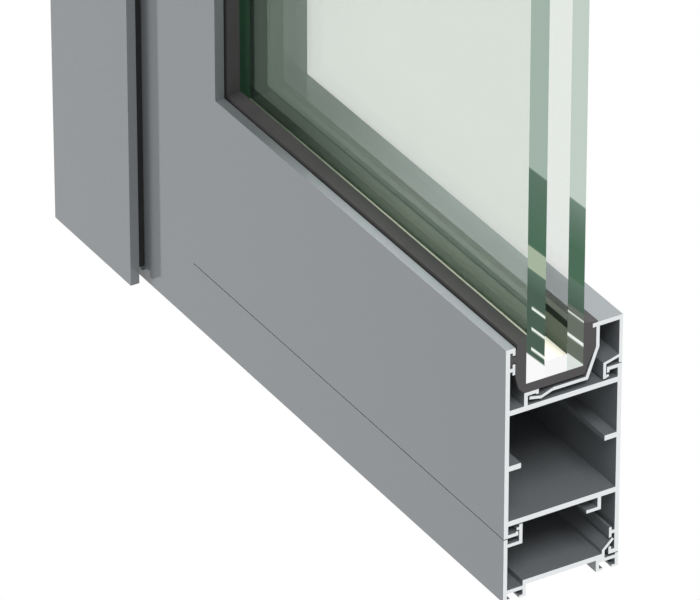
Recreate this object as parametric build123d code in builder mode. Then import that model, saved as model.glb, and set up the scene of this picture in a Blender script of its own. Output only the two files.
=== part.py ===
from build123d import *
import os

# Bottom hinge-side corner of an aluminium casement door, cut through at the
# right and at the top so that the sections of its extrusions show.
# Millimetres. X runs along the door from the wall side of the jamb towards the
# cut, Y from the front face to the back, Z up from the foot of the jamb.
# The leaf turns about the hinge pin on the back and opens towards +Y.

os.makedirs("parts", exist_ok=True)

# Overall size of the sample
sample_width = 327.3
sample_height = 410.0

# Jamb
jamb_width = 38.0
jamb_face_width = 61.0
jamb_wall = 1.8
jamb_partition_y = 24.0
flange_lip_depth = 3.9
flange_groove_width = 6.0
flange_rib = 1.4
fixing_hole_radius = 4.2
fixing_first_z = 105.0
fixing_spacing = 200.0

# Leaf
leaf_depth = 50.0
leaf_lift = 0.5
leaf_gap = 5.0
leaf_wall = 1.8
web = 2.2
stile_width = 74.3
rail_height = 109.0
rebate = 26.2
rail_chamber = 45.6
fin_reach = 5.2
joint_cope = 8.0

# Hooks that the extrusions share
hook = 1.5
barb = 1.1
slot_reach = 4.0
slot_lip = 1.9
slot_lip_drop = 1.2
slot_bar_top = 19.4
slot_bar_height = 4.6
bead_hook_y = 8.0
bead_hook_height = 5.6
bead_hook_reach = 6.2
back_hook_height = 5.5
back_hook_reach = 4.7
barb_drop = 0.9

# Hooks under the rail that carry the closer
lip_hook_reach = 6.2
lip_hook = 1.4
keeper_inset = 8.0
keeper_reach = 6.3
keeper_drop = 5.5
tee_z = 15.6
tee_reach = 2.4
tee_height = 4.4
foot_hook_reach = 4.3
foot_hook_height = 3.2

# Snap-in closer under the rail
closer_height = 27.3
closer_back_height = 5.8
closer_wall = 1.6
closer_floor = 2.1
closer_floor_top = 7.2
closer_front_roof = 4.9
closer_groove_roof = 5.1
closer_groove = 1.4
closer_step_y = 8.4
closer_leg_inset = 9.7
closer_leg = 1.4
closer_lip = 2.9
closer_lip_height = 1.0
clip_height = 5.0
clip_arm_drop = 3.6
back_clip_inset = 7.2
back_clip_rise = 1.4
back_clip_tip_inset = 2.4
back_clip_tip_z = 12.6
snap_wall = 1.2

# Double glazing, its gasket and the bead
front_pane = 7.8
glass_cavity = 9.6
back_pane = 7.0
glass_edge_cover = 16.7
spacer_height = 7.0
sealant_height = 1.2
gasket_front = 4.5
gasket_back = 5.3
gasket_base = 3.8
gasket_front_rise = 3.8
gasket_back_rise = 1.4
gasket_front_slope = 2.4
gasket_lap = 2.4
gasket_lap_edge = 0.4
gasket_neck = 2.6
gasket_foot = 5.4
gasket_foot_wall = 0.9
gasket_clearance = 0.2
gasket_shadow_gap = 0.5
gasket_shadow_depth = 1.2
bead_wall = 1.4
bead_lip = 1.8
bead_nose = 1.6
bead_platform = 4.3
bead_platform_y = 20.2
bead_knee = 15.8
bead_heel_y = 34.8
bead_tongue_y = 10.3
bead_tongue_dip = 1.8
bead_leg_height = 7.3
bead_leg_barb = 1.8

# Seal between jamb flange and leaf
seal_gap = 2.9
seal_clearance = 0.3
seal_inset = 0.5
seal_foot = 7.0
seal_fit = 0.2

# Hinge
hinge_foot_z = 190.0
hinge_offset = 13.0
barrel_radius = 8.0
pin_radius = 5.0
pin_clearance = 0.05
knuckle_length = 30.0
washer_thickness = 1.3
washer_clearance = 0.1
hinge_plate = 5.0
hinge_plate_width = 29.0
hinge_plate_inset = 1.0
hinge_plate_corner = 3.0
hinge_arm = 12.0
cap_height = 3.0
cap_round = 1.5
nut_plate = 3.0
nut_plate_width = 20.0
hinge_screws = 3
screw_radius = 2.5
screw_head_radius = 5.0
screw_clearance = 0.25
screw_tail = 2.0
screw_socket = 1.7
screw_socket_depth = 2.0

# Corner joint inside the rail
cleat_plate = 4.0
cleat_arm = 3.0
cleat_length = 45.0
cleat_clearance = 0.15
cleat_screw_spacing = 24.0
cleat_screw_head_height = 3.0

# Setting block under the bead platform
block_length = 60.0
block_width = 12.0
block_from_joint = 45.0

# Fit between pieces that clip together
snap_clearance = 0.4

# Places worked out from the sizes above
leaf_x = jamb_width + leaf_gap
opening_x = leaf_x + stile_width
stile_web_x = opening_x - rebate
rail_face_x = stile_web_x + joint_cope
rail_length = sample_width - stile_web_x
rail_web_z = rail_height - rebate
partition_z = rail_web_z - web - rail_chamber
rail_seam_z = closer_height + snap_clearance
rail_back_foot_z = closer_back_height + snap_clearance
leaf_inside = leaf_depth - leaf_wall
keeper_y = leaf_depth - keeper_inset
closer_leg_y = leaf_depth - closer_leg_inset
back_clip_y = leaf_depth - back_clip_inset
glass_front_y = slot_reach + gasket_clearance + gasket_front
cavity_y = glass_front_y + front_pane
back_pane_y = cavity_y + glass_cavity
glass_back_y = back_pane_y + back_pane
bead_face_y = glass_back_y + gasket_back + gasket_clearance
glass_edge = rebate - glass_edge_cover
glass_x = stile_web_x + glass_edge
gasket_sole = glass_edge - gasket_base
axis_x = jamb_width + leaf_gap / 2
axis_y = leaf_depth + hinge_offset
knuckle_step = knuckle_length + washer_thickness + 2 * washer_clearance
hinge_length = knuckle_length + 2 * knuckle_step
hinge_middle_z = hinge_foot_z + hinge_length / 2
frame_plate_x = jamb_width - hinge_plate_inset - hinge_plate_width / 2
leaf_plate_x = leaf_x + hinge_plate_inset + hinge_plate_width / 2
plate_back_y = leaf_depth + hinge_plate
screw_step = hinge_length / hinge_screws
pin_bore_radius = pin_radius + pin_clearance
screw_hole_radius = screw_radius + screw_clearance

stile_plane = Plane(origin=(0, 0, sample_height), x_dir=(0, 1, 0), z_dir=(0, 0, -1))
stile_length = sample_height - leaf_lift

# Corner pieces of equal section meet on this plane; its normal points at the bottom piece
mitre = Plane(origin=(stile_web_x, 0, leaf_lift + rail_web_z), x_dir=(0, 1, 0), z_dir=(1, 0, -1))


def rail_plane(x):
    """Section plane across the rail: local x is depth, local y is height above the leaf's foot."""
    return Plane(origin=(x, 0, leaf_lift), x_dir=(0, 1, 0), z_dir=(1, 0, 0))


def screw_row(x, y):
    """Plane at the middle of a row of hinge screws: local x runs up, the normal points out of the back."""
    return Plane(origin=(x, y, hinge_middle_z), x_dir=(0, 0, 1), z_dir=(0, 1, 0))


def wall(from_1, to_1, from_2, to_2):
    """Add one straight wall, given by its limits in the sketch's two directions."""
    with Locations(((from_1 + to_1) / 2, (from_2 + to_2) / 2)):
        Rectangle(abs(to_1 - from_1), abs(to_2 - from_2))


def strip(thickness, *points):
    """Add one bent or slanting wall along the middle line through the points."""
    with BuildLine() as middle:
        Polyline(*points)
    trace(middle.line, line_width=thickness)


def outline(*points):
    """Add one closed outline with straight sides."""
    with BuildLine() as edge:
        Polyline(*points, close=True)
    make_face(edge.line.edges())


def glazing_rebate(web_top):
    """Draw the hooks for gasket and bead on the glass side of a web."""
    lip_top = web_top + rebate
    lip_foot = lip_top - slot_lip
    bar_top = web_top + slot_bar_top
    bar_foot = bar_top - slot_bar_height
    arm_middle = (bar_top + bar_foot) / 2
    wall(0, leaf_wall, web_top - web, lip_top)
    wall(0, slot_reach, lip_foot, lip_top)
    wall(slot_reach - barb, slot_reach, lip_foot - slot_lip_drop, lip_top)
    wall(0, slot_reach, arm_middle - hook / 2, arm_middle + hook / 2)
    wall(slot_reach - barb, slot_reach, bar_foot, bar_top)
    hook_top = web_top + bead_hook_height
    hook_end = bead_hook_y + bead_hook_reach
    wall(bead_hook_y, bead_hook_y + hook, web_top - web, hook_top)
    wall(bead_hook_y, hook_end, hook_top - hook, hook_top)
    wall(hook_end - barb, hook_end, hook_top - hook - barb_drop / 2, hook_top)
    back_top = web_top + back_hook_height
    back_end = leaf_inside - back_hook_reach
    wall(leaf_inside, leaf_depth, web_top - web, back_top)
    wall(back_end, leaf_depth, back_top - hook, back_top)
    wall(back_end, back_end + barb, back_top - hook - barb_drop, back_top)


def bead_section(web_top):
    """Draw the glazing bead, with the platform that the gasket sits on."""
    face = bead_face_y + bead_wall / 2
    deck = web_top + bead_platform - bead_wall / 2
    knee = web_top + bead_knee
    top = web_top + rebate
    dip_y = (bead_tongue_y + bead_platform_y) / 2
    strip(
        snap_wall,
        (bead_tongue_y, deck - bead_wall / 2),
        (dip_y, deck - bead_tongue_dip),
        (bead_platform_y, deck),
    )
    strip(bead_wall, (bead_platform_y, deck), (bead_heel_y, deck), (face, knee), (face, top - bead_lip))
    wall(bead_face_y - bead_nose, leaf_depth, top - bead_lip, top)
    wall(leaf_depth - bead_wall, leaf_depth, web_top + back_hook_height + snap_clearance, top)
    leg_y = leaf_inside - back_hook_reach - snap_clearance - snap_wall / 2
    leg_top = web_top + back_hook_height + bead_leg_barb
    leg_foot = web_top + snap_clearance * 2
    strip(
        snap_wall,
        (leaf_depth - bead_wall / 2, leg_top + bead_leg_barb),
        (leg_y, leg_top),
        (leg_y, leg_foot),
    )
    strip(barb, (leg_y, leg_foot + barb / 2), (leg_y + bead_leg_barb, leg_foot + barb))


def gasket_section(web_top):
    """Draw the U-shaped rubber around the glass edge, locked in the front slot, lapping the bead."""
    outer = slot_reach + gasket_clearance
    back = bead_face_y - gasket_clearance
    sole = web_top + gasket_sole
    edge = web_top + glass_edge
    top = web_top + rebate
    outline(
        (bead_hook_y, sole),
        (bead_heel_y - gasket_clearance * 4, sole),
        (bead_heel_y + gasket_clearance * 2, edge),
        (back, web_top + bead_knee),
        (back, top - bead_lip - gasket_clearance),
        (back - bead_nose, top - bead_lip - gasket_clearance),
        (back - bead_nose, top + gasket_clearance),
        (back - bead_nose + gasket_lap, top + gasket_clearance),
        (back - bead_nose + gasket_lap, top + gasket_clearance + gasket_lap_edge),
        (glass_back_y, top + gasket_back_rise),
        (glass_back_y, edge),
        (glass_front_y, edge),
        (glass_front_y, top + gasket_front_rise),
        (outer + gasket_shadow_gap, top + gasket_front_rise - gasket_front_slope),
        (outer + gasket_shadow_gap, top - gasket_shadow_depth),
        (outer, top - gasket_shadow_depth),
        (outer, edge + gasket_base),
        (outer + (bead_hook_y - outer) / 3, edge - gasket_base / 4),
    )
    slot_middle = (web_top + slot_bar_top + top - slot_lip - slot_lip_drop) / 2
    foot_y = leaf_wall + gasket_clearance
    wall(foot_y, outer, slot_middle - gasket_neck / 2, slot_middle + gasket_neck / 2)
    wall(foot_y, foot_y + gasket_foot_wall, slot_middle - gasket_foot / 2, slot_middle + gasket_foot / 2)


# Jamb: a box beside the wall, with a flange that laps the front of the leaf
flange_x = jamb_face_width
groove_x = flange_x - jamb_wall - flange_groove_width
jamb_front_y = -(flange_lip_depth + seal_gap)
jamb_skin_y = jamb_front_y + jamb_wall
fixing_y = (jamb_skin_y + jamb_partition_y) / 2
fixing_z = fixing_first_z + fixing_spacing / 2
with BuildPart() as jamb_profile:
    with BuildSketch(Plane.XY):
        wall(0, flange_x, jamb_front_y, jamb_skin_y)
        wall(0, jamb_wall, jamb_front_y, leaf_depth)
        wall(jamb_width - jamb_wall, jamb_width, jamb_front_y, leaf_depth)
        wall(0, jamb_width, leaf_depth - jamb_wall, leaf_depth)
        wall(0, jamb_width, jamb_partition_y, jamb_partition_y + jamb_wall)
        wall(flange_x - jamb_wall, flange_x, jamb_front_y, -seal_gap)
        wall(groove_x - flange_rib, groove_x, jamb_front_y, -seal_gap)
    extrude(amount=sample_height)
    with Locations(Plane(origin=(0, fixing_y, fixing_z), x_dir=(0, 1, 0), z_dir=(-1, 0, 0))):
        with GridLocations(fixing_spacing, fixing_spacing, 1, 2):
            Hole(fixing_hole_radius, depth=jamb_width)
    with Locations(screw_row(frame_plate_x, leaf_depth)):
        with GridLocations(screw_step, screw_step, hinge_screws, 1):
            Hole(screw_hole_radius, depth=jamb_wall)
jamb_profile.part.label = "jamb_profile"
export_step(jamb_profile.part, "parts/jamb_profile.step")

# Rubber seal in the flange, just clear of the closed leaf
with BuildPart() as frame_seal:
    with BuildSketch(Plane.XY.offset(seal_foot)):
        wall(groove_x + seal_fit, flange_x - jamb_wall - seal_fit, jamb_skin_y + seal_fit, -seal_gap)
        wall(groove_x - flange_rib, flange_x - seal_inset, -seal_gap, -seal_clearance)
    extrude(amount=sample_height - seal_foot)
frame_seal.part.label = "frame_seal"
export_step(frame_seal.part, "parts/frame_seal.step")

# Stile: a box the full height of the leaf, its rebate cut back where the rail joins
with BuildPart() as hinge_stile:
    with BuildSketch(stile_plane):
        wall(0, leaf_wall, leaf_x, stile_web_x)
        wall(leaf_inside, leaf_depth, leaf_x, stile_web_x)
        wall(0, leaf_depth, leaf_x, leaf_x + leaf_wall)
        wall(0, leaf_depth, stile_web_x - web, stile_web_x)
        glazing_rebate(stile_web_x)
    extrude(amount=stile_length)
    with BuildSketch(Plane.XY.offset(leaf_lift)):
        wall(stile_web_x, opening_x, leaf_wall, leaf_depth)
        wall(rail_face_x, opening_x, 0, leaf_wall)
    extrude(amount=rail_height, mode=Mode.SUBTRACT)
    with Locations(screw_row(leaf_plate_x, leaf_depth)):
        with GridLocations(screw_step, screw_step, hinge_screws, 1):
            Hole(screw_hole_radius, depth=leaf_wall)
    cleat_middle_z = leaf_lift + partition_z + rail_chamber / 2
    joint_plane = Plane(
        origin=(stile_web_x, leaf_depth / 2, cleat_middle_z), x_dir=(0, 1, 0), z_dir=(1, 0, 0)
    )
    with Locations(joint_plane):
        with GridLocations(cleat_screw_spacing, cleat_screw_spacing, 1, 2):
            Hole(screw_radius, depth=web)
hinge_stile.part.label = "hinge_stile"
export_step(hinge_stile.part, "parts/hinge_stile.step")

# Bottom rail: one extrusion with a closed chamber and open hooks for the closer below it
with BuildPart() as bottom_rail:
    with BuildSketch(rail_plane(stile_web_x)):
        wall(0, leaf_wall, rail_seam_z, rail_web_z)
        wall(leaf_inside, leaf_depth, rail_back_foot_z, rail_web_z)
        wall(0, leaf_depth, rail_web_z - web, rail_web_z)
        wall(0, leaf_depth, partition_z - web, partition_z)
        fin_z = partition_z + rail_chamber / 2
        wall(0, leaf_wall + fin_reach, fin_z - web / 2, fin_z + web / 2)
        wall(leaf_inside - fin_reach, leaf_depth, fin_z - web / 2, fin_z + web / 2)
        glazing_rebate(rail_web_z)
        wall(0, lip_hook_reach, rail_seam_z, rail_seam_z + lip_hook)
        wall(lip_hook_reach - barb, lip_hook_reach, rail_seam_z, rail_seam_z + lip_hook + barb_drop / 2)
        keeper_z = partition_z - web - keeper_drop
        wall(keeper_y - hook, keeper_y, keeper_z, partition_z - web)
        wall(keeper_y - keeper_reach, keeper_y, keeper_z, keeper_z + lip_hook)
        wall(leaf_inside - tee_reach, leaf_inside, tee_z - lip_hook / 2, tee_z + lip_hook / 2)
        wall(
            leaf_inside - tee_reach,
            leaf_inside - tee_reach + barb,
            tee_z - tee_height / 2,
            tee_z + tee_height / 2,
        )
        foot_hook_y = leaf_depth - foot_hook_reach
        wall(foot_hook_y, leaf_depth, rail_back_foot_z, rail_back_foot_z + leaf_wall)
        wall(foot_hook_y, foot_hook_y + barb, rail_back_foot_z, rail_back_foot_z + foot_hook_height)
    extrude(amount=rail_length)
    with BuildSketch(rail_plane(stile_web_x)):
        wall(0, leaf_wall, 0, rail_height)
    extrude(amount=joint_cope, mode=Mode.SUBTRACT)
    with BuildSketch(Plane.XZ.offset(-leaf_inside)):
        corner_z = leaf_lift + rail_web_z
        outline(
            (stile_web_x, corner_z),
            (stile_web_x, corner_z + rebate),
            (opening_x, corner_z + rebate),
        )
    extrude(amount=leaf_inside - leaf_wall, mode=Mode.SUBTRACT)
bottom_rail.part.label = "bottom_rail"
export_step(bottom_rail.part, "parts/bottom_rail.step")

# Closer: snaps in under the rail and finishes the foot of the leaf, with two seal grooves
with BuildPart() as bottom_closer:
    with BuildSketch(rail_plane(rail_face_x)):
        clip_y = lip_hook_reach + snap_clearance
        clip_top = rail_seam_z + clip_height
        arm_z = closer_height - clip_arm_drop
        wall(0, closer_wall, 0, closer_height)
        wall(0, clip_y + closer_leg, arm_z, arm_z + closer_leg)
        wall(clip_y, clip_y + closer_leg, arm_z, clip_top - snap_clearance)
        wall(clip_y - barb, clip_y, clip_top - snap_clearance - barb * 2, clip_top - snap_clearance - barb)
        wall(0, closer_step_y + closer_leg, closer_front_roof - closer_wall, closer_front_roof)
        wall(closer_step_y, closer_step_y + closer_leg, 0, closer_floor_top)
        floor_z = closer_floor_top - closer_floor
        wall(closer_step_y, back_clip_y + snap_wall, floor_z, closer_floor_top)
        wall(closer_leg_y, closer_leg_y + closer_leg, 0, closer_floor_top)
        wall(closer_leg_y, leaf_depth, closer_groove_roof - closer_groove, closer_groove_roof)
        wall(leaf_depth - closer_leg, leaf_depth, 0, closer_back_height)
        wall(0, closer_lip, 0, closer_lip_height)
        wall(closer_step_y + closer_leg - closer_lip, closer_step_y + closer_leg, 0, closer_lip_height)
        wall(closer_leg_y, closer_leg_y + closer_lip, 0, closer_lip_height)
        wall(leaf_depth - closer_lip, leaf_depth, 0, closer_lip_height)
        bend_z = closer_floor_top + back_clip_rise
        strip(
            snap_wall,
            (back_clip_y + snap_wall / 2, floor_z),
            (back_clip_y + snap_wall / 2, bend_z),
            (leaf_depth - back_clip_tip_inset, back_clip_tip_z),
        )
    extrude(amount=sample_width - rail_face_x)
bottom_closer.part.label = "bottom_closer"
export_step(bottom_closer.part, "parts/bottom_closer.step")

# Glazing bead, mitred at the corner
with BuildPart() as bead_bottom:
    with BuildSketch(rail_plane(stile_web_x)):
        bead_section(rail_web_z)
    extrude(amount=rail_length)
    split(bisect_by=mitre, keep=Keep.TOP)
bead_bottom.part.label = "bead_bottom"
export_step(bead_bottom.part, "parts/bead_bottom.step")

with BuildPart() as bead_side:
    with BuildSketch(stile_plane):
        bead_section(stile_web_x)
    extrude(amount=stile_length - rail_web_z)
    split(bisect_by=mitre, keep=Keep.BOTTOM)
bead_side.part.label = "bead_side"
export_step(bead_side.part, "parts/bead_side.step")

# Glazing gasket, mitred at the corner
with BuildPart() as gasket_bottom:
    with BuildSketch(rail_plane(stile_web_x)):
        gasket_section(rail_web_z)
    extrude(amount=rail_length)
    split(bisect_by=mitre, keep=Keep.TOP)
gasket_bottom.part.label = "gasket_bottom"
export_step(gasket_bottom.part, "parts/gasket_bottom.step")

with BuildPart() as gasket_side:
    with BuildSketch(stile_plane):
        gasket_section(stile_web_x)
    extrude(amount=stile_length - rail_web_z)
    split(bisect_by=mitre, keep=Keep.BOTTOM)
gasket_side.part.label = "gasket_side"
export_step(gasket_side.part, "parts/gasket_side.step")

# Sealed glass unit: two panes, a solid foam spacer along each edge and the sealant behind it
glass_z = rail_web_z + glass_edge
with BuildPart() as pane_front:
    with BuildSketch(rail_plane(glass_x)):
        wall(glass_front_y, cavity_y, glass_z, stile_length)
    extrude(amount=sample_width - glass_x)
pane_front.part.label = "pane_front"
export_step(pane_front.part, "parts/pane_front.step")

with BuildPart() as pane_back:
    with BuildSketch(rail_plane(glass_x)):
        wall(back_pane_y, glass_back_y, glass_z, stile_length)
    extrude(amount=sample_width - glass_x)
pane_back.part.label = "pane_back"
export_step(pane_back.part, "parts/pane_back.step")

with BuildPart() as spacer_bottom:
    with BuildSketch(rail_plane(glass_x)):
        wall(cavity_y, back_pane_y, glass_z + sealant_height, glass_z + spacer_height)
    extrude(amount=sample_width - glass_x)
    split(bisect_by=mitre, keep=Keep.TOP)
spacer_bottom.part.label = "spacer_bottom"
export_step(spacer_bottom.part, "parts/spacer_bottom.step")

with BuildPart() as spacer_side:
    with BuildSketch(stile_plane):
        wall(cavity_y, back_pane_y, glass_x + sealant_height, glass_x + spacer_height)
    extrude(amount=stile_length - glass_z)
    split(bisect_by=mitre, keep=Keep.BOTTOM)
spacer_side.part.label = "spacer_side"
export_step(spacer_side.part, "parts/spacer_side.step")

with BuildPart() as edge_sealant:
    with BuildSketch(rail_plane(glass_x)):
        wall(cavity_y, back_pane_y, glass_z, glass_z + sealant_height)
    extrude(amount=sample_width - glass_x)
    with BuildSketch(stile_plane):
        wall(cavity_y, back_pane_y, glass_x, glass_x + sealant_height)
    extrude(amount=stile_length - glass_z)
edge_sealant.part.label = "edge_sealant"
export_step(edge_sealant.part, "parts/edge_sealant.step")

# Plastic block that carries the glass load from the bead's platform to the rail's web
with BuildPart() as setting_block:
    with BuildSketch(rail_plane(stile_web_x + block_from_joint)):
        block_y = bead_platform_y + (bead_heel_y - bead_platform_y - block_width) / 2
        wall(block_y, block_y + block_width, rail_web_z, rail_web_z + bead_platform - bead_wall)
    extrude(amount=block_length)
setting_block.part.label = "setting_block"
export_step(setting_block.part, "parts/setting_block.step")

# Joint cleat: a channel in the rail's chamber, screwed to the side of the stile
with BuildPart() as corner_cleat:
    cleat_front = leaf_wall + fin_reach + cleat_clearance
    cleat_back = leaf_depth - cleat_front
    cleat_foot = partition_z + cleat_clearance
    cleat_top = partition_z + rail_chamber - cleat_clearance
    with BuildSketch(rail_plane(stile_web_x)):
        wall(cleat_front, cleat_back, cleat_foot, cleat_top)
    extrude(amount=cleat_plate)
    with BuildSketch(rail_plane(stile_web_x)):
        wall(cleat_front, cleat_back, cleat_foot, cleat_foot + cleat_arm)
        wall(cleat_front, cleat_back, cleat_top - cleat_arm, cleat_top)
    extrude(amount=cleat_length)
    with Locations(joint_plane.offset(cleat_plate)):
        with GridLocations(cleat_screw_spacing, cleat_screw_spacing, 1, 2):
            Hole(screw_hole_radius, depth=cleat_plate)
corner_cleat.part.label = "corner_cleat"
export_step(corner_cleat.part, "parts/corner_cleat.step")

with BuildPart() as cleat_screws:
    with BuildSketch(joint_plane.offset(cleat_plate)):
        with GridLocations(cleat_screw_spacing, cleat_screw_spacing, 1, 2):
            Circle(screw_head_radius)
    extrude(amount=cleat_screw_head_height)
    with BuildSketch(joint_plane.offset(-web - screw_tail)):
        with GridLocations(cleat_screw_spacing, cleat_screw_spacing, 1, 2):
            Circle(screw_radius)
    extrude(amount=cleat_plate + web + screw_tail)
cleat_screws.part.label = "cleat_screws"
export_step(cleat_screws.part, "parts/cleat_screws.step")


# Butt hinge on the back: two knuckles on the jamb's plate, one on the leaf's plate between them
def knuckle(toward_x):
    """Draw a knuckle and the arm that joins it to the plate whose near edge is at the given x."""
    side = -1 if toward_x < axis_x else 1
    with Locations((axis_x, axis_y)):
        Circle(barrel_radius)
    outline(
        (toward_x + side * hinge_arm, plate_back_y),
        (toward_x, leaf_depth + hinge_plate / 2),
        (axis_x, axis_y - barrel_radius),
        (axis_x, axis_y),
        (axis_x + side * barrel_radius, axis_y),
    )


def bore():
    """Draw the hole for the pin."""
    with Locations((axis_x, axis_y)):
        Circle(pin_bore_radius)


with BuildPart() as hinge_frame_plate:
    plate_plane = screw_row(frame_plate_x, leaf_depth)
    with BuildSketch(plate_plane):
        RectangleRounded(hinge_length, hinge_plate_width, hinge_plate_corner)
    extrude(amount=hinge_plate)
    for knuckle_z in (hinge_foot_z, hinge_foot_z + 2 * knuckle_step):
        with BuildSketch(Plane.XY.offset(knuckle_z)):
            knuckle(jamb_width - hinge_plate_inset)
        extrude(amount=knuckle_length)
        with BuildSketch(Plane.XY.offset(knuckle_z)):
            bore()
        extrude(amount=knuckle_length, mode=Mode.SUBTRACT)
    with Locations(plate_plane.offset(hinge_plate)):
        with GridLocations(screw_step, screw_step, hinge_screws, 1):
            CounterSinkHole(screw_hole_radius, screw_head_radius + screw_clearance, depth=hinge_plate)
hinge_frame_plate.part.label = "hinge_frame_plate"
export_step(hinge_frame_plate.part, "parts/hinge_frame_plate.step")

with BuildPart() as hinge_leaf_plate:
    plate_plane = screw_row(leaf_plate_x, leaf_depth)
    with BuildSketch(plate_plane):
        RectangleRounded(hinge_length, hinge_plate_width, hinge_plate_corner)
    extrude(amount=hinge_plate)
    with BuildSketch(Plane.XY.offset(hinge_foot_z + knuckle_step)):
        knuckle(leaf_x + hinge_plate_inset)
    extrude(amount=knuckle_length)
    with BuildSketch(Plane.XY.offset(hinge_foot_z + knuckle_step)):
        bore()
    extrude(amount=knuckle_length, mode=Mode.SUBTRACT)
    with Locations(plate_plane.offset(hinge_plate)):
        with GridLocations(screw_step, screw_step, hinge_screws, 1):
            CounterSinkHole(screw_hole_radius, screw_head_radius + screw_clearance, depth=hinge_plate)
hinge_leaf_plate.part.label = "hinge_leaf_plate"
export_step(hinge_leaf_plate.part, "parts/hinge_leaf_plate.step")

with BuildPart() as hinge_pin:
    with BuildSketch(Plane.XY.offset(hinge_foot_z)):
        with Locations((axis_x, axis_y)):
            Circle(pin_radius)
    extrude(amount=hinge_length)
hinge_pin.part.label = "hinge_pin"
export_step(hinge_pin.part, "parts/hinge_pin.step")

with BuildPart() as hinge_washers:
    for washer_index in (1, 2):
        washer_z = hinge_foot_z + washer_index * knuckle_step - washer_thickness - washer_clearance
        with BuildSketch(Plane.XY.offset(washer_z)):
            with Locations((axis_x, axis_y)):
                Circle(barrel_radius)
                Circle(pin_bore_radius, mode=Mode.SUBTRACT)
        extrude(amount=washer_thickness)
hinge_washers.part.label = "hinge_washers"
export_step(hinge_washers.part, "parts/hinge_washers.step")

with BuildPart() as hinge_cap_upper:
    with BuildSketch(Plane.XY.offset(hinge_foot_z + hinge_length)):
        with Locations((axis_x, axis_y)):
            Circle(barrel_radius)
    extrude(amount=cap_height)
    fillet(hinge_cap_upper.faces().sort_by(Axis.Z)[-1].edges(), cap_round)
hinge_cap_upper.part.label = "hinge_cap_upper"
export_step(hinge_cap_upper.part, "parts/hinge_cap_upper.step")

with BuildPart() as hinge_cap_lower:
    with BuildSketch(Plane.XY.offset(hinge_foot_z - cap_height)):
        with Locations((axis_x, axis_y)):
            Circle(barrel_radius)
    extrude(amount=cap_height)
    fillet(hinge_cap_lower.faces().sort_by(Axis.Z)[0].edges(), cap_round)
hinge_cap_lower.part.label = "hinge_cap_lower"
export_step(hinge_cap_lower.part, "parts/hinge_cap_lower.step")

# Nut plates behind the walls that the hinge is screwed to
nut_plate_length = hinge_length - 2 * hinge_plate_corner
with BuildPart() as nut_plate_frame:
    with BuildSketch(screw_row(frame_plate_x, leaf_depth - jamb_wall)):
        Rectangle(nut_plate_length, nut_plate_width)
        with GridLocations(screw_step, screw_step, hinge_screws, 1):
            Circle(screw_radius, mode=Mode.SUBTRACT)
    extrude(amount=-nut_plate)
nut_plate_frame.part.label = "nut_plate_frame"
export_step(nut_plate_frame.part, "parts/nut_plate_frame.step")

with BuildPart() as nut_plate_leaf:
    with BuildSketch(screw_row(leaf_plate_x, leaf_inside)):
        Rectangle(nut_plate_length, nut_plate_width)
        with GridLocations(screw_step, screw_step, hinge_screws, 1):
            Circle(screw_radius, mode=Mode.SUBTRACT)
    extrude(amount=-nut_plate)
nut_plate_leaf.part.label = "nut_plate_leaf"
export_step(nut_plate_leaf.part, "parts/nut_plate_leaf.step")

# Countersunk hinge screw at the origin, its head up
screw_length = hinge_plate + leaf_wall + nut_plate + screw_tail
with BuildPart() as countersunk_screw:
    with BuildSketch(Plane.XZ):
        outline(
            (0, 0),
            (screw_head_radius, 0),
            (screw_radius, screw_radius - screw_head_radius),
            (screw_radius, -screw_length),
            (0, -screw_length),
        )
    revolve(axis=Axis.Z)
    with BuildSketch(Plane.XY):
        RegularPolygon(screw_socket, 6)
    extrude(amount=-screw_socket_depth, mode=Mode.SUBTRACT)

with BuildPart() as hinge_frame_screws:
    with Locations(screw_row(frame_plate_x, plate_back_y)):
        with GridLocations(screw_step, screw_step, hinge_screws, 1):
            add(countersunk_screw.part)
hinge_frame_screws.part.label = "hinge_frame_screws"
export_step(hinge_frame_screws.part, "parts/hinge_frame_screws.step")

with BuildPart() as hinge_leaf_screws:
    with Locations(screw_row(leaf_plate_x, plate_back_y)):
        with GridLocations(screw_step, screw_step, hinge_screws, 1):
            add(countersunk_screw.part)
hinge_leaf_screws.part.label = "hinge_leaf_screws"
export_step(hinge_leaf_screws.part, "parts/hinge_leaf_screws.step")
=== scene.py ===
"""Finishes and studio for the cut-open bottom corner of an aluminium casement door."""

import math

import bpy
from bpy.props import FloatProperty, FloatVectorProperty, PointerProperty
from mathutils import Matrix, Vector


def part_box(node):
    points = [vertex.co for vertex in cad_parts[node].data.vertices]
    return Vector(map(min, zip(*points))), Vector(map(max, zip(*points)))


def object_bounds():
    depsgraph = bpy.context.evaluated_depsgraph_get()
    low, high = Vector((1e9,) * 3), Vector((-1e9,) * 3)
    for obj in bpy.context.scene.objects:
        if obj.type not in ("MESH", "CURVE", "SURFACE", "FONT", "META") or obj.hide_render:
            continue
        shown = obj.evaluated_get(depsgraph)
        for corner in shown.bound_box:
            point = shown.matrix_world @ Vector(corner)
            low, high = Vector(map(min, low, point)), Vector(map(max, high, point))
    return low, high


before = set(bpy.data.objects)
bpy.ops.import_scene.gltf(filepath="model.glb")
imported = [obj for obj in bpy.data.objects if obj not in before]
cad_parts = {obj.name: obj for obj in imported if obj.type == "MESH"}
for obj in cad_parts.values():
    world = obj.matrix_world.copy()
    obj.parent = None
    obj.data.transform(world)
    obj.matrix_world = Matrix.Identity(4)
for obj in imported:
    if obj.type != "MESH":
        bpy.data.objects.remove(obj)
cad_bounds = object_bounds()

bl_info = {
    "name": "Casement door corner section",
    "version": (1, 0, 0),
    "blender": (4, 5, 0),
    "location": "View3D > Sidebar > Door corner",
    "description": "Finishes of a cut-open corner of an aluminium casement door, and its studio",
    "category": "Object",
}

MM = 0.001

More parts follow.
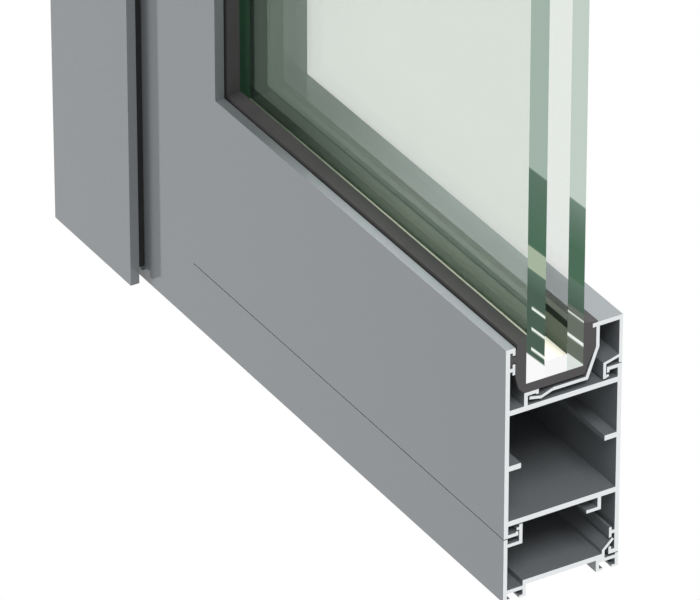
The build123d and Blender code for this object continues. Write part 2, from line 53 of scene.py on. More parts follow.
# The saw went along these two planes, so what lies on them is bare
SAWN_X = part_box("pane_front")[1].x
SAWN_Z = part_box("pane_front")[1].z
SAWN_DEPTH = 0.05 * MM

# Nodes of each finish
COATED_PROFILES = (
    "jamb_profile",
    "hinge_stile",
    "bottom_rail",
    "bottom_closer",
    "bead_bottom",
    "bead_side",
)
COATED_FITTINGS = ("hinge_frame_plate", "hinge_leaf_plate", "hinge_cap_upper", "hinge_cap_lower")
STAINLESS = ("hinge_pin", "hinge_frame_screws", "hinge_leaf_screws", "cleat_screws")
ZINC_PLATED = ("nut_plate_frame", "nut_plate_leaf")

# Pitch of each pattern in mm. Metal flakes, pores, cells and the marks of saw and tool are
# finer than the picture can show, so they are drawn as coarse as they need to be seen. The
# gloss of a coat drifts slowly, by how thick the powder lay.
FLAKE_PITCH = 0.8
GLOSS_PITCH = 70.0
PEEL_PITCH = 1.8
SAW_MARK_PITCH = (6.0, 0.35, 2.5)
CHALK_PITCH = 9.0
PORE_PITCH = 0.5
SKIN_PITCH = 1.5
CELL_PITCH = 0.7
TOOL_MARK_PITCH = (4.0, 4.0, 0.3)

# Relief of each finish: how strongly it turns the light, and its depth in metres
COAT_RELIEF = {"Strength": 0.1, "Distance": 0.02 * MM}
RUBBER_RELIEF = {"Strength": 0.2, "Distance": 0.05 * MM}
SKIN_RELIEF = {"Strength": 0.1, "Distance": 0.02 * MM}
CELL_RELIEF = {"Strength": 0.15, "Distance": 0.03 * MM}
TOOL_MARK_RELIEF = {"Strength": 0.15, "Distance": 0.02 * MM}

# Roughness over each finish. The coat's varies by a share of its setting, and that of foam
# and metal goes below and above their own by these amounts.
COAT_SPREAD = 0.2
SAWN_METAL_ROUGHNESS = {"To Min": 0.28, "To Max": 0.42}
RUBBER_ROUGHNESS = {"To Min": 0.6, "To Max": 0.8}
SKIN_ROUGHNESS = {"To Min": 0.35, "To Max": 0.5}
SAWN_GLASS_ROUGHNESS = 0.12
FOAM_SPREAD = 0.08
METAL_SMOOTHER = 0.06
METAL_ROUGHER = 0.08

# Refractive indices of the baked polyester, the rubber, the glass and the foams
POLYESTER_IOR = 1.5
RUBBER_IOR = 1.45
GLASS_IOR = 1.5
SKIN_IOR = 1.5
FOAM_IOR = 1.45

# Colours of the painted reflection in a pane's sawn end, from white to deep green
END_WHITE = "#fafbfa"
END_PEARL = "#dbe3de"
END_MIST = "#c2cfc6"
END_STRAW = "#a7b69f"
END_PALE = "#a3b5aa"
END_HAZE = "#728a7c"
END_SOFT = "#5d7666"
END_GREY = "#687065"
END_GREEN = "#4d6d58"
END_DEEP = "#4c6154"

# Painted reflection in the sawn end of each pane, from its foot up: where a band starts in mm,
# and its colours at its lower and upper edge. Light turns round inside the sheet, so what the
# sheet stands in would show there as slanting bands and glints; here they are painted in, as
# painted reflection and painted highlights. A glint has a start and an end in mm, and keeps an
# inset in mm from the front face of its pane.
FRONT_END_PAINTED_BANDS = (
    (0.0, END_WHITE, END_WHITE),
    (13.3, END_DEEP, END_DEEP),
    (41.0, END_DEEP, END_SOFT),
    (49.6, END_STRAW, END_STRAW),
    (59.1, END_GREEN, END_SOFT),
    (91.1, END_PALE, END_PALE),
)
FRONT_END_PAINTED_GLINTS = ((16.0, 17.0), (24.5, 25.5), (33.1, 34.1))
FRONT_GLINT_INSET = 2.0
BACK_END_PAINTED_BANDS = (
    (0.0, END_PEARL, END_PEARL),
    (7.8, END_GREY, END_GREY),
    (29.0, END_DEEP, END_SOFT),
    (40.6, END_GREEN, END_GREEN),
    (54.0, END_GREEN, END_SOFT),
    (63.0, END_SOFT, END_HAZE),
    (73.7, END_MIST, END_MIST),
)
BACK_END_PAINTED_GLINTS = ((15.2, 16.6), (25.5, 25.8))
BACK_GLINT_INSET = 0.0
PANE_ENDS = {
    "pane_front": (FRONT_END_PAINTED_BANDS, FRONT_END_PAINTED_GLINTS, FRONT_GLINT_INSET),
    "pane_back": (BACK_END_PAINTED_BANDS, BACK_END_PAINTED_GLINTS, BACK_GLINT_INSET),
}

# How steeply the painted bands slant, the height in mm that they fill, and how soft their edges
# are
BAND_SLOPE = 1.03
BAND_SPAN = 120.0
BAND_EDGE = 0.25

# A low blend keeps the deep green to light that runs nearly along the glass
GRAZING_BLEND = 0.2

# Studio: the floor's side in metres, its paint, and the strength of the even light
FLOOR_SIZE = 12
FLOOR_PAINT = "#a8a8a8"
WALL_STRENGTH = 0.38

# Each softbox: its name, its place and its sides in metres, and its power in watts
LAMPS = (
    ("top strip", (-0.32, 0.035, 2.35), (0.04, 0.5), 54),
    ("front softbox", (-1.6, -2.2, 0.5), (1.4, 1.4), 38),
    ("side softbox", (1.6, -0.35, 2.2), (1.2, 1.2), 26),
)

# The camera's sensor in mm, and how far it sees in metres
SENSOR_WIDTH = 36
FAR_CLIP = 50


def linear(hex_colour):
    """Turn an sRGB hex value such as "#909598" into the linear colour that a shader takes."""
    channels = [int(hex_colour[i : i + 2], 16) / 255 for i in (1, 3, 5)]
    return [c / 12.92 if c <= 0.04045 else ((c + 0.055) / 1.055) ** 2.4 for c in channels] + [1.0]


def add_node(tree, kind, settings=None, links=None):
    """Add a node, set its properties and sockets, and link other nodes' outputs into it."""
    node = tree.nodes.new(kind)
    for name, value in (settings or {}).items():
        if isinstance(name, str) and hasattr(node, name):
            setattr(node, name, value)
        else:
            node.inputs[name].default_value = value
    for name, output in (links or {}).items():
        tree.links.new(output, node.inputs[name])
    return node


def new_material(name):
    """Make an empty node material; return it with its tree, output and Object coordinates."""
    material = bpy.data.materials.new(name)
    material.use_nodes = True
    tree = material.node_tree
    tree.nodes.clear()
    out = add_node(tree, "ShaderNodeOutputMaterial")
    place = add_node(tree, "ShaderNodeTexCoord").outputs["Object"]
    return material, tree, out, place


def per_mm(pitch_mm):
    """Texture scale that repeats a pattern about every pitch_mm millimetres."""
    return 1 / (pitch_mm * MM)


def give(names, material):
    """Put one material on the slots of the named nodes."""
    for name in names:
        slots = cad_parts[name].data.materials
        slots.clear()
        slots.append(material)


def sawn_mask(tree, place):
    """1 on the two planes that the saw left, 0 elsewhere."""
    xyz = add_node(tree, "ShaderNodeSeparateXYZ", links={0: place})
    right = add_node(
        tree,
        "ShaderNodeMath",
        {"operation": "GREATER_THAN", 1: SAWN_X - SAWN_DEPTH},
        {0: xyz.outputs["X"]},
    )
    top = add_node(
        tree,
        "ShaderNodeMath",
        {"operation": "GREATER_THAN", 1: SAWN_Z - SAWN_DEPTH},
        {0: xyz.outputs["Z"]},
    )
    either = add_node(
        tree, "ShaderNodeMath", {"operation": "MAXIMUM"}, {0: right.outputs[0], 1: top.outputs[0]}
    )
    return either.outputs[0]


def powder_coat(name, settings):
    """Powder-coated aluminium: a baked polyester coat in silver grey over an extrusion.

    Fine metal flakes give the grey a slight play of light and dark. The coat is smooth and
    semi-gloss, with a faint orange peel, so faces mirror what is close to them. Where the
    saw went through, the metal is bare and bright, with scratches across each wall.
    """
    material, tree, out, place = new_material(name)
    sawn = sawn_mask(tree, place)
    flake = add_node(
        tree,
        "ShaderNodeTexNoise",
        {"Scale": per_mm(FLAKE_PITCH), "Detail": 3.0, "Roughness": 0.7},
        {"Vector": place},
    )
    gloss = add_node(
        tree,
        "ShaderNodeTexNoise",
        {"Scale": per_mm(GLOSS_PITCH), "Detail": 2.0},
        {"Vector": place},
    )
    flaked = add_node(
        tree,
        "ShaderNodeMix",
        {"data_type": "RGBA", 6: settings.coat_dark, 7: settings.coat_light},
        {0: flake.outputs["Fac"]},
    )
    across = add_node(
        tree,
        "ShaderNodeMapping",
        {"Scale": [per_mm(pitch) for pitch in SAW_MARK_PITCH]},
        {"Vector": place},
    )
    scratch = add_node(
        tree,
        "ShaderNodeTexNoise",
        {"Scale": 1.0, "Detail": 4.0, "Roughness": 0.65},
        {"Vector": across.outputs[0]},
    )
    bare = add_node(
        tree,
        "ShaderNodeMix",
        {"data_type": "RGBA", 6: settings.sawn_dark, 7: settings.sawn_light},
        {0: scratch.outputs["Fac"]},
    )
    colour = add_node(
        tree,
        "ShaderNodeMix",
        {"data_type": "RGBA"},
        {0: sawn, 6: flaked.outputs[2], 7: bare.outputs[2]},
    )
    coat_rough = add_node(
        tree,
        "ShaderNodeMapRange",
        {
            "To Min": settings.coat_roughness * (1 - COAT_SPREAD),
            "To Max": settings.coat_roughness * (1 + COAT_SPREAD),
        },
        {"Value": gloss.outputs["Fac"]},
    )
    bare_rough = add_node(
        tree, "ShaderNodeMapRange", SAWN_METAL_ROUGHNESS, {"Value": scratch.outputs["Fac"]}
    )
    rough = add_node(
        tree,
        "ShaderNodeMix",
        {"data_type": "FLOAT"},
        {0: sawn, 2: coat_rough.outputs[0], 3: bare_rough.outputs[0]},
    )
    peel = add_node(
        tree,
        "ShaderNodeTexNoise",
        {"Scale": per_mm(PEEL_PITCH), "Detail": 1.0},
        {"Vector": place},
    )
    height = add_node(
        tree,
        "ShaderNodeMix",
        {"data_type": "FLOAT"},
        {0: sawn, 2: peel.outputs["Fac"], 3: scratch.outputs["Fac"]},
    )
    bump = add_node(tree, "ShaderNodeBump", COAT_RELIEF, {"Height": height.outputs[0]})
    shader = add_node(
        tree,
        "ShaderNodeBsdfPrincipled",
        {"IOR": POLYESTER_IOR},
        {
            "Base Color": colour.outputs[2],
            "Metallic": sawn,
            "Roughness": rough.outputs[0],
            "Normal": bump.outputs[0],
        },
    )
    tree.links.new(shader.outputs[0], out.inputs[0])
    return material


def rubber(name, dark, light, cut):
    """Extruded EPDM rubber: matt, a little chalky on its skin, with fine pores.

    The saw tears it, so its cut end is paler than the smooth skin.
    """
    material, tree, out, place = new_material(name)
    sawn = sawn_mask(tree, place)
    chalk = add_node(
        tree,
        "ShaderNodeTexNoise",
        {"Scale": per_mm(CHALK_PITCH), "Detail": 4.0, "Roughness": 0.6},
        {"Vector": place},
    )
    pores = add_node(
        tree,
        "ShaderNodeTexNoise",
        {"Scale": per_mm(PORE_PITCH), "Detail": 2.0},
        {"Vector": place},
    )
    skin = add_node(
        tree,
        "ShaderNodeMix",
        {"data_type": "RGBA", 6: dark, 7: light},
        {0: chalk.outputs["Fac"]},
    )
    colour = add_node(
        tree, "ShaderNodeMix", {"data_type": "RGBA", 7: cut}, {0: sawn, 6: skin.outputs[2]}
    )
    rough = add_node(
        tree, "ShaderNodeMapRange", RUBBER_ROUGHNESS, {"Value": pores.outputs["Fac"]}
    )
    bump = add_node(tree, "ShaderNodeBump", RUBBER_RELIEF, {"Height": pores.outputs["Fac"]})
    shader = add_node(
        tree,
        "ShaderNodeBsdfPrincipled",
        {"IOR": RUBBER_IOR},
        {
            "Base Color": colour.outputs[2],
            "Roughness": rough.outputs[0],
            "Normal": bump.outputs[0],
        },
    )
    tree.links.new(shader.outputs[0], out.inputs[0])
    return material


def fill_ramp(ramp, stops):
    """Set a ramp's stops, given as heights in mm along the bands and their colours."""
    while len(ramp.elements) < len(stops):
        ramp.elements.new(1.0)
    for element, (start, colour) in zip(ramp.elements, stops):
        element.position = start / BAND_SPAN
        element.color = colour


def float_glass(pane, settings, tint):
    """Clear float glass, sawn at the sample's right and top.

    Float glass is fire polished, so its faces are sharp mirrors with no texture, and the
    iron in it leaves a green cast. A sawn end mirrors the room, tinted green, and carries
    painted reflection: slanting bands and painted glints stand in for what the sheet stands
    in, seen by light that turns round inside it.
    """
    material, tree, out, place = new_material("clear float glass " + pane)
    bands, glints, glint_inset = PANE_ENDS[pane]
    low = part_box(pane)[0]
    xyz = add_node(tree, "ShaderNodeSeparateXYZ", links={0: place})
    depth = add_node(
        tree, "ShaderNodeMath", {"operation": "SUBTRACT", 1: low.y}, {0: xyz.outputs["Y"]}
    )
    height = add_node(
        tree, "ShaderNodeMath", {"operation": "SUBTRACT", 1: low.z}, {0: xyz.outputs["Z"]}
    )
    slanted = add_node(
        tree,
        "ShaderNodeMath",
        {"operation": "MULTIPLY_ADD", 1: BAND_SLOPE},
        {0: depth.outputs[0], 2: height.outputs[0]},
    )
    along = add_node(
        tree,
        "ShaderNodeMath",
        {"operation": "DIVIDE", 1: BAND_SPAN * MM},
        {0: slanted.outputs[0]},
    )
    # Painted reflection: bands of colour that slant up the sawn end
    band = add_node(tree, "ShaderNodeValToRGB", links={0: along.outputs[0]})
    ends = [start - BAND_EDGE for start, _, _ in bands[1:]] + [BAND_SPAN]
    stops = []
    for (start, lower, upper), end in zip(bands, ends):
        stops += [(start, linear(lower)), (end, linear(upper))]
    fill_ramp(band.color_ramp, stops)
    # Painted highlights: thin glints across the bands
    glint = add_node(tree, "ShaderNodeValToRGB", links={0: along.outputs[0]})
    black, white = linear("#000000"), linear("#ffffff")
    stops = [(0.0, black)]
    for start, end in glints:
        stops += [(start - BAND_EDGE, black), (start, white)]
        stops += [(end, white), (end + BAND_EDGE, black)]
    fill_ramp(glint.color_ramp, stops)
    inside = add_node(
        tree,
        "ShaderNodeMath",
        {"operation": "GREATER_THAN", 1: glint_inset * MM},
        {0: depth.outputs[0]},
    )
    glinting = add_node(
        tree,
        "ShaderNodeMath",
        {"operation": "MULTIPLY"},
        {0: glint.outputs[0], 1: inside.outputs[0]},
    )
    # The sawn end's colour is painted reflection, with the painted glints laid over it
    painted_end_colour = add_node(
        tree,
        "ShaderNodeMix",
        {"data_type": "RGBA", 7: settings.glass_painted_glint},
        {0: glinting.outputs[0], 6: band.outputs[0]},
    )
    sawn = sawn_mask(tree, place)
    colour = add_node(
        tree,
        "ShaderNodeMix",
        {"data_type": "RGBA", 6: tint},
        {0: sawn, 7: painted_end_colour.outputs[2]},
    )
    rough = add_node(
        tree, "ShaderNodeMath", {"operation": "MULTIPLY", 1: SAWN_GLASS_ROUGHNESS}, {0: sawn}
    )
    through = add_node(tree, "ShaderNodeMath", {"operation": "SUBTRACT", 0: 1.0}, {1: sawn})
    mirror = add_node(
        tree,
        "ShaderNodeMix",
        {"data_type": "RGBA", 6: settings.glass_mirror, 7: white},
        {0: sawn},
    )
    shader = add_node(
        tree,
        "ShaderNodeBsdfPrincipled",
        {"IOR": GLASS_IOR},
        {
            "Base Color": colour.outputs[2],
            "Metallic": sawn,
            "Roughness": rough.outputs[0],
            "Specular Tint": mirror.outputs[2],
            "Transmission Weight": through.outputs[0],
        },
    )
    body = add_node(
        tree,
        "ShaderNodeVolumeAbsorption",
        {"Color": settings.glass_body, "Density": settings.glass_density},
    )
    # Refraction would block the studio's light on its way to what stands behind the sheet, so
    # shadow rays and diffuse rays go straight through, with a green cast; the flatter they
    # meet the sheet, the less comes through
    flatness = add_node(tree, "ShaderNodeLayerWeight", {"Blend": GRAZING_BLEND})
    cast = add_node(
        tree,
        "ShaderNodeMix",
        {"data_type": "RGBA", 6: settings.glass_shade, 7: settings.glass_deep_shade},
        {0: flatness.outputs["Facing"]},
    )
    shade = add_node(tree, "ShaderNodeBsdfTransparent", links={"Color": cast.outputs[2]})
    path = add_node(tree, "ShaderNodeLightPath")
    for_diffuse = add_node(
        tree,
        "ShaderNodeMixShader",
        links={0: path.outputs["Is Diffuse Ray"], 1: shader.outputs[0], 2: shade.outputs[0]},
    )
    surface = add_node(
        tree,
        "ShaderNodeMixShader",
        links={0: path.outputs["Is Shadow Ray"], 1: for_diffuse.outputs[0], 2: shade.outputs[0]},
    )
    tree.links.new(surface.outputs[0], out.inputs["Surface"])
    tree.links.new(body.outputs[0], out.inputs["Volume"])
    return material


def foam_bar(name, settings):
    """White spacer of stiff silicone foam, extruded with a close, satin skin.

    The saw leaves its end glossy, as bright as the room that it mirrors.
    """
    material, tree, out, place = new_material(name)
    sawn = sawn_mask(tree, place)
    skin = add_node(
        tree,
        "ShaderNodeTexNoise",
        {"Scale": per_mm(SKIN_PITCH), "Detail": 3.0},
        {"Vector": place},
    )
    cells = add_node(
        tree,
        "ShaderNodeMix",
        {"data_type": "RGBA", 6: settings.spacer_dark, 7: settings.spacer_light},
        {0: skin.outputs["Fac"]},
    )
    colour = add_node(
        tree,
        "ShaderNodeMix",
        {"data_type": "RGBA", 7: settings.spacer_sawn},
        {0: sawn, 6: cells.outputs[2]},
    )
    satin = add_node(tree, "ShaderNodeMapRange", SKIN_ROUGHNESS, {"Value": skin.outputs["Fac"]})
    bump = add_node(tree, "ShaderNodeBump", SKIN_RELIEF, {"Height": skin.outputs["Fac"]})
    shader = add_node(
        tree,
        "ShaderNodeBsdfPrincipled",
        {"IOR": SKIN_IOR},
        {
            "Base Color": colour.outputs[2],
            "Metallic": sawn,
            "Roughness": satin.outputs[0],
            "Normal": bump.outputs[0],
        },
    )
    tree.links.new(shader.outputs[0], out.inputs[0])
    return material


def foam(name, dark, light, rough):
    """Silicone foam with closed cells, or nylon or polypropylene from a textured mould.

    Both are coloured right through and matt, with a fine even grain that softens highlights.
    """
    material, tree, out, place = new_material(name)
    grain = add_node(
        tree,
        "ShaderNodeTexNoise",
        {"Scale": per_mm(CELL_PITCH), "Detail": 3.0},
        {"Vector": place},
    )
    colour = add_node(
        tree,
        "ShaderNodeMix",
        {"data_type": "RGBA", 6: dark, 7: light},
        {0: grain.outputs["Fac"]},
    )
    matt = add_node(
        tree,
        "ShaderNodeMapRange",
        {"To Min": rough - FOAM_SPREAD, "To Max": rough + FOAM_SPREAD},
        {"Value": grain.outputs["Fac"]},
    )
    bump = add_node(tree, "ShaderNodeBump", CELL_RELIEF, {"Height": grain.outputs["Fac"]})
    shader = add_node(
        tree,
        "ShaderNodeBsdfPrincipled",
        {"IOR": FOAM_IOR},
        {
            "Base Color": colour.outputs[2],
            "Roughness": matt.outputs[0],
            "Normal": bump.outputs[0],
        },
    )
    tree.links.new(shader.outputs[0], out.inputs[0])
    return material


def turned_metal(name, dark, light, rough):
    """Stainless, zinc plated or mill finish metal, turned, pressed or extruded.

    The tool leaves fine marks round it, which draw the highlights out along them.
    """
    material, tree, out, place = new_material(name)
    stretched = add_node(
        tree,
        "ShaderNodeMapping",
        {"Scale": [per_mm(pitch) for pitch in TOOL_MARK_PITCH]},
        {"Vector": place},
    )
    marks = add_node(
        tree,
        "ShaderNodeTexNoise",
        {"Scale": 1.0, "Detail": 4.0, "Roughness": 0.6},
        {"Vector": stretched.outputs[0]},
    )
    colour = add_node(
        tree,
        "ShaderNodeMix",
        {"data_type": "RGBA", 6: dark, 7: light},
        {0: marks.outputs["Fac"]},
    )
    polish = add_node(
        tree,
        "ShaderNodeMapRange",
        {"To Min": rough - METAL_SMOOTHER, "To Max": rough + METAL_ROUGHER},
        {"Value": marks.outputs["Fac"]},
    )
    bump = add_node(tree, "ShaderNodeBump", TOOL_MARK_RELIEF, {"Height": marks.outputs["Fac"]})
    shader = add_node(
        tree,
        "ShaderNodeBsdfPrincipled",
        {"Metallic": 1.0},
        {
            "Base Color": colour.outputs[2],
            "Roughness": polish.outputs[0],
            "Normal": bump.outputs[0],
        },
    )
    tree.links.new(shader.outputs[0], out.inputs[0])
    return material


def colour_property(label, hex_colour, note):
    """A colour that the panel shows as a swatch."""
    return FloatVectorProperty(
        name=label,
        description=note,
        default=linear(hex_colour),
        size=4,
        min=0,
        max=1,
        subtype="COLOR",
    )


class DoorCornerFinishes(bpy.types.PropertyGroup):
    """Colours and gloss of the finishes."""

    coat_dark: colour_property("Coat, dark", "#808588", "Darker flakes of the powder coat")
    coat_light: colour_property("Coat, light", "#8d9194", "Lighter flakes of the powder coat")
    coat_roughness: FloatProperty(
        name="Coat roughness",
        description="How far the coat blurs what it mirrors",
        default=0.08,
        min=0.0,
        max=1.0,
        subtype="FACTOR",
    )
    sawn_dark: colour_property("Sawn metal, dark", "#e0e4e6", "Scratches in bare aluminium")
    sawn_light: colour_property("Sawn metal, light", "#f4f6f7", "Aluminium between scratches")
    gasket_dark: colour_property("Gasket, dark", "#403e3e", "Skin of the glazing gasket")
    gasket_light: colour_property("Gasket, light", "#4b4949", "Chalky places on the gasket")
    gasket_cut: colour_property("Gasket, cut", "#605e5f", "Cut end of the glazing gasket")
    seal_dark: colour_property("Seal, dark", "#151617", "Skin of the flange seal")
    seal_light: colour_property("Seal, light", "#232425", "Chalky places on the flange seal")
    front_tint: colour_property("Front pane", "#f7f9f6", "What the front pane lets through")
    back_tint: colour_property("Back pane", "#ebedea", "What the back pane lets through")
    glass_shade: colour_property("Glass shade", "#f8fdf9", "Light that a face lets in square on")
    glass_deep_shade: colour_property("Glass deep shade", "#4f9068", "Light let in along the face")
    glass_mirror: colour_property("Glass mirror", "#a2ffba", "Cast of what the panes mirror")
    glass_body: colour_property("Glass body", "#a0d2b6", "Cast of the glass itself")
    glass_density: FloatProperty(
        name="Glass density",
        description="How fast the glass takes up light, for each metre",
        default=10.0,
        min=0.0,
    )
    # Colour of the painted glints, painted highlights in a pane's sawn end
    glass_painted_glint: colour_property("Glint", "#eef5ef", "Glints in a pane's sawn end")
    spacer_dark: colour_property("Bottom spacer, dark", "#fbeee0", "Cells of the white foam")
    spacer_light: colour_property("Bottom spacer, light", "#fff4ea", "Skin of the white foam")
    spacer_sawn: colour_property("Bottom spacer, sawn", "#fdfdfd", "Sawn end of the white foam")
    # Painted shade: the side spacer's dark green stands in for the dim light, tinted green by the
    # glass, deep between the panes
    side_shade_dark: colour_property("Side spacer, dark", "#35694a", "Cells of the green foam spacer")
    side_shade_light: colour_property("Side spacer, light", "#437a58", "Skin of the green foam spacer")


class DoorCornerStudio(bpy.types.PropertyGroup):
    """Light and camera around the sample."""

    azimuth: FloatProperty(
        name="Azimuth",
        description="How far to the left of straight ahead the camera looks",
        default=math.radians(59.209),
        subtype="ANGLE",
    )
    elevation: FloatProperty(
        name="Elevation",
        description="How steeply the camera looks down",
        default=math.radians(31.411),
        subtype="ANGLE",
    )
    place: FloatVectorProperty(
        name="Camera place",
        description="Where the camera stands",
        default=(2.4051, -1.3037, 1.6286),
        subtype="TRANSLATION",
        unit="LENGTH",
    )
    lens: FloatProperty(
        name="Lens",
        description="Focal length in millimetres for a sensor 36 mm wide",
        default=411.43,
        min=1.0,
        unit="CAMERA",
    )
    floor_drop: FloatProperty(
        name="Floor drop",
        description="How far below the foot of the sample the floor lies",
        default=0.35,
        min=0.0,
        unit="LENGTH",
    )
    mirrored: colour_property("Mirrored floor", "#c8c8c8", "Floor as the panes mirror it")
    backdrop: colour_property("Backdrop", "#ffffff", "Floor and walls where they are seen")


class DOORCORNER_OT_coat_profiles(bpy.types.Operator):
    """Coat the aluminium extrusions of jamb and leaf"""

    bl_idname = "doorcorner.coat_profiles"
    bl_label = "Coat the profiles"

    def execute(self, context):
        settings = context.scene.door_corner_finishes
        give(COATED_PROFILES, powder_coat("powder coated aluminium", settings))
        return {"FINISHED"}


class DOORCORNER_OT_fit_rubber(bpy.types.Operator):
    """Finish the glazing gaskets and the flange seal in rubber"""

    bl_idname = "doorcorner.fit_rubber"
    bl_label = "Fit the rubber"

    def execute(self, context):
        settings = context.scene.door_corner_finishes
        gasket = rubber(
            "EPDM glazing rubber", settings.gasket_dark, settings.gasket_light, settings.gasket_cut
        )
        seal = rubber(
            "EPDM seal rubber", settings.seal_dark, settings.seal_light, settings.seal_light
        )
        give(("gasket_bottom", "gasket_side"), gasket)
        give(("frame_seal",), seal)
        return {"FINISHED"}


class DOORCORNER_OT_glaze(bpy.types.Operator):
    """Finish the panes, the spacers, the sealant and the setting block"""

    bl_idname = "doorcorner.glaze"
    bl_label = "Glaze the leaf"

    def execute(self, context):
        settings = context.scene.door_corner_finishes
        give(("pane_front",), float_glass("pane_front", settings, settings.front_tint))
        give(("pane_back",), float_glass("pane_back", settings, settings.back_tint))
        give(("spacer_bottom", "edge_sealant"), foam_bar("silicone foam, white", settings))
        # The side spacer's dark green is painted shade and green cast from the glass
        green = foam("silicone foam, green", settings.side_shade_dark, settings.side_shade_light, 0.6)
        give(("spacer_side",), green)
        plastic = foam("polypropylene", linear("#2a2b2c"), linear("#38393a"), 0.5)
        give(("setting_block",), plastic)
        return {"FINISHED"}


class DOORCORNER_OT_hang_leaf(bpy.types.Operator):
    """Finish the hinge, its screws and the joint cleat"""

    bl_idname = "doorcorner.hang_leaf"
    bl_label = "Finish the hinge"

    def execute(self, context):
        settings = context.scene.door_corner_finishes
        give(COATED_FITTINGS, powder_coat("powder coated hinge", settings))
        for names, kind, dark, light, rough in (
            (STAINLESS, "stainless steel", "#a8aaab", "#d0d2d3", 0.25),
            (ZINC_PLATED, "zinc plated steel", "#9fa4a8", "#c3c7ca", 0.35),
            (("corner_cleat",), "mill finish aluminium", "#b9bcbf", "#d8dadc", 0.4),
        ):
            give(names, turned_metal(kind, linear(dark), linear(light), rough))
        give(("hinge_washers",), foam("black nylon", linear("#161616"), linear("#262626"), 0.45))
        return {"FINISHED"}


class DOORCORNER_OT_build_studio(bpy.types.Operator):
    """Build the floor, the light and the camera"""

    bl_idname = "doorcorner.build_studio"
    bl_label = "Build the studio"

    def execute(self, context):
        studio = context.scene.door_corner_studio
        bpy.ops.object.select_all(action="DESELECT")
        bpy.ops.mesh.primitive_plane_add(size=FLOOR_SIZE, location=(0, 0, -studio.floor_drop))
        floor = context.object
        floor.name = "floor"
        floor.data.materials.append(backdrop_material("painted studio floor", studio))
        light_world(context.scene, studio.backdrop)
        for name, place, sides, watts in LAMPS:
            add_lamp(name, place, sides, watts)
        add_camera(context.scene, studio)
        context.scene.view_settings.view_transform = "Standard"
        return {"FINISHED"}


def seen_ray(tree):
    """1 for rays from the camera, and for those that gloss or glass send on."""
    path = add_node(tree, "ShaderNodeLightPath")
    first = add_node(
        tree,
        "ShaderNodeMath",
        {"operation": "MAXIMUM"},
        {0: path.outputs["Is Camera Ray"], 1: path.outputs["Is Glossy Ray"]},
    )
    second = add_node(
        tree,
        "ShaderNodeMath",
        {"operation": "MAXIMUM"},
        {0: first.outputs[0], 1: path.outputs["Is Transmission Ray"]},
    )
    return second.outputs[0]


def backdrop_material(name, studio):
    """Matt emulsion, rolled on: an even surface, which gives light back as pale paint does.

    It is seen as the backdrop's colour. The sharp mirror of a pane shows it greyer, as if
    the light fell off over it.
    """
    material, tree, out, _ = new_material(name)
    matt = add_node(tree, "ShaderNodeBsdfDiffuse", {"Color": linear(FLOOR_PAINT)})
    path = add_node(tree, "ShaderNodeLightPath")
    sharp = add_node(
        tree,
        "ShaderNodeMath",
        {"operation": "MULTIPLY"},
        {0: path.outputs["Is Singular Ray"], 1: path.outputs["Is Reflection Ray"]},
    )
    shown = add_node(
        tree,
        "ShaderNodeMix",
        {"data_type": "RGBA", 6: studio.backdrop, 7: studio.mirrored},
        {0: sharp.outputs[0]},
    )
    glow = add_node(tree, "ShaderNodeEmission", {"Strength": 1.0}, {"Color": shown.outputs[2]})
    both = add_node(
        tree,
        "ShaderNodeMixShader",
        links={0: seen_ray(tree), 1: matt.outputs[0], 2: glow.outputs[0]},
    )
    tree.links.new(both.outputs[0], out.inputs[0])
    return material


def light_world(scene, colour):
    """Even grey light from all round, seen as the backdrop's colour."""
    world = bpy.data.worlds.new("studio walls")
    scene.world = world
    world.use_nodes = True
    tree = world.node_tree
    tree.nodes.clear()
    walls = add_node(
        tree, "ShaderNodeBackground", {"Color": linear("#ffffff"), "Strength": WALL_STRENGTH}
    )
    seen = add_node(tree, "ShaderNodeBackground", {"Color": colour, "Strength": 1.0})
    both = add_node(
        tree,
        "ShaderNodeMixShader",
        links={0: seen_ray(tree), 1: walls.outputs[0], 2: seen.outputs[0]},
    )
    add_node(tree, "ShaderNodeOutputWorld", links={0: both.outputs[0]})


def add_lamp(name, place, sides, watts):
    """Hang a softbox that faces the middle of the sample and shows in no mirror or glass."""
    low, high = (Vector(corner) for corner in cad_bounds)
    data = bpy.data.lights.new(name, "AREA")
    data.shape = "RECTANGLE"
    data.size, data.size_y = sides
    data.energy = watts
    lamp = bpy.data.objects.new(name, data)
    bpy.context.scene.collection.objects.link(lamp)
    lamp.location = place
    lamp.rotation_euler = ((low + high) / 2 - Vector(place)).to_track_quat("-Z", "Y").to_euler()
    lamp.visible_camera = False
    lamp.visible_glossy = False
    lamp.visible_transmission = False


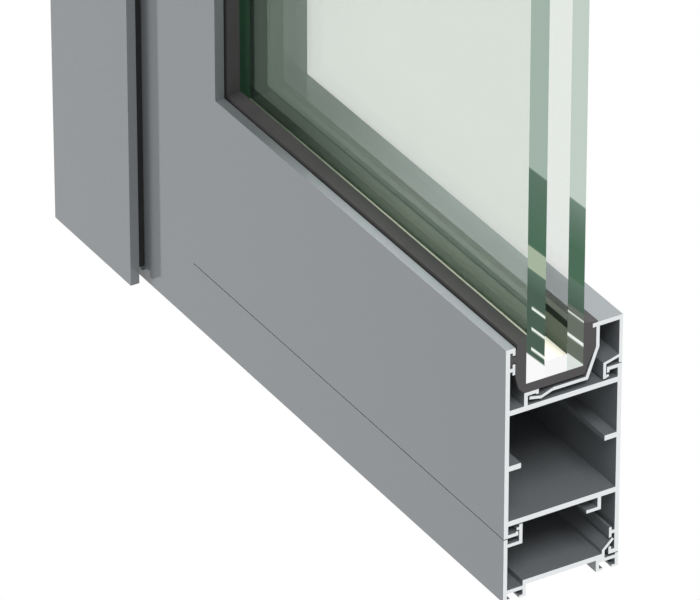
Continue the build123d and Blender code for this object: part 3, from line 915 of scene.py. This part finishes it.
def add_camera(scene, studio):
    """Set up the long lens at the photograph's angle."""
    data = bpy.data.cameras.new("camera")
    data.sensor_width = SENSOR_WIDTH
    data.sensor_fit = "HORIZONTAL"
    data.lens = studio.lens
    data.clip_end = FAR_CLIP
    camera = bpy.data.objects.new("camera", data)
    scene.collection.objects.link(camera)
    level = math.cos(studio.elevation)
    forward = Vector(
        (
            -math.sin(studio.azimuth) * level,
            math.cos(studio.azimuth) * level,
            -math.sin(studio.elevation),
        )
    )
    camera.location = studio.place
    camera.rotation_euler = forward.to_track_quat("-Z", "Y").to_euler()
    scene.camera = camera


class DOORCORNER_PT_panel(bpy.types.Panel):
    """Steps that finish the sample and build its studio."""

    bl_idname = "DOORCORNER_PT_panel"
    bl_label = "Casement door corner"
    bl_space_type = "VIEW_3D"
    bl_region_type = "UI"
    bl_category = "Door corner"

    def draw(self, context):
        for step in STEPS:
            self.layout.operator(step.bl_idname)
        for group in (context.scene.door_corner_finishes, context.scene.door_corner_studio):
            for name in group.__annotations__:
                self.layout.prop(group, name)


STEPS = (
    DOORCORNER_OT_coat_profiles,
    DOORCORNER_OT_fit_rubber,
    DOORCORNER_OT_glaze,
    DOORCORNER_OT_hang_leaf,
    DOORCORNER_OT_build_studio,
)
CLASSES = (DoorCornerFinishes, DoorCornerStudio, *STEPS, DOORCORNER_PT_panel)


def register():
    """Register the add-on's classes and settings."""
    for item in CLASSES:
        bpy.utils.register_class(item)
    bpy.types.Scene.door_corner_finishes = PointerProperty(type=DoorCornerFinishes)
    bpy.types.Scene.door_corner_studio = PointerProperty(type=DoorCornerStudio)


def unregister():
    """Remove what register added."""
    del bpy.types.Scene.door_corner_studio
    del bpy.types.Scene.door_corner_finishes
    for item in reversed(CLASSES):
        bpy.utils.unregister_class(item)


def main():
    """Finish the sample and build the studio."""
    register()
    bpy.ops.doorcorner.coat_profiles()
    bpy.ops.doorcorner.fit_rubber()
    bpy.ops.doorcorner.glaze()
    bpy.ops.doorcorner.hang_leaf()
    bpy.ops.doorcorner.build_studio()


if __name__ == "__main__":
    main()
